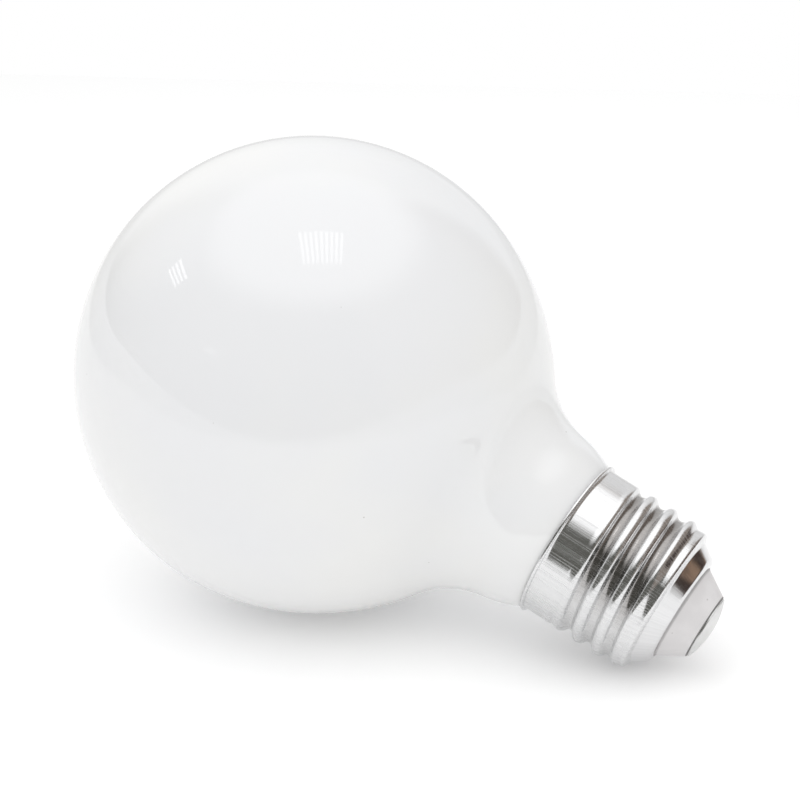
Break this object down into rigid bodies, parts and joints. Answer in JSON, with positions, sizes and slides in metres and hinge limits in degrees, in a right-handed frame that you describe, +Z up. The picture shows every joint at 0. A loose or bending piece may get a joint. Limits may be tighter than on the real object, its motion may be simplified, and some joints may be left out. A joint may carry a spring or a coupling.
{
  "type": "led light bulb",
  "caption": "Opal glass globe lamp with a short neck, cemented into a rolled screw cap with a white insulator and a domed centre contact.",
  "frame": {"origin": "middle of the lamp's box on the floor that it lies on", "axes": "+Z up; +X along the lying lamp towards its cap, whose axis points down to the floor by 24.43 degrees; +Y across"},
  "size_m": [0.1124, 0.08, 0.08],
  "materials": {
    "opal_glass": "opal white, glossy",
    "cap_metal": "bright, with fine drawing lines",
    "cement": "matte, dense",
    "white_insulator": "white, matte",
    "contact_metal": "nickel plated, bright",
    "circuit_board": "green, satin",
    "capacitor_sleeve": "black shrunk sleeve",
    "black_package": "black moulded",
    "resistor_lacquer": "green lacquer",
    "wire_sleeve": "white sleeve",
    "plain_wire": "tinned",
    "solder": "bright solder"
  },
  "bodies": {
    "root": {"glass_globe": "opal_glass", "screw_shell": "cap_metal", "cap_cement": "cement", "cap_insulator": "white_insulator", "centre_contact": "contact_metal", "driver_board": "circuit_board", "filter_capacitor": "capacitor_sleeve", "bridge_rectifier": "black_package", "driver_chip": "black_package", "fuse_resistor": "resistor_lacquer", "sense_resistors": "black_package", "live_wire": "wire_sleeve", "neutral_wire": "plain_wire", "filament_lead_left": "plain_wire", "filament_lead_right": "plain_wire", "solder_joints": "solder"}
  },
  "joints": []
}
